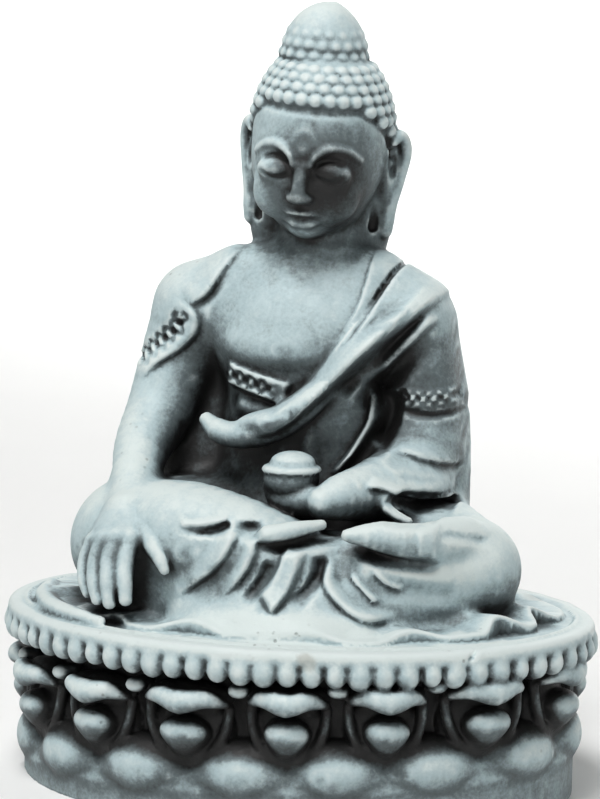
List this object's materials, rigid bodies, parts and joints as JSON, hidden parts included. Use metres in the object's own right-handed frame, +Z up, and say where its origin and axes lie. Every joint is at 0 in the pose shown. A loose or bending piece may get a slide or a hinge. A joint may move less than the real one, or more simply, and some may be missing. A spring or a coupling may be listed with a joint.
{
  "type": "buddha statue",
  "caption": "Small seated Buddha on a double lotus plinth, moulded in one piece with a flat underside. Right hand lowered to the ground, bowl in the lap.",
  "frame": {"origin": "middle of the flat underside, at the height of the surface that the statue stands on", "axes": "+Z up, the figure faces -Y, +X to the figure's left"},
  "size_m": [0.1172, 0.0897, 0.1509],
  "materials": {
    "fired_clay": "matt, pale blue-grey slip over fired clay, with dark patina in the recesses"
  },
  "bodies": {
    "root": {"buddha_statue": "fired_clay"}
  },
  "joints": []
}
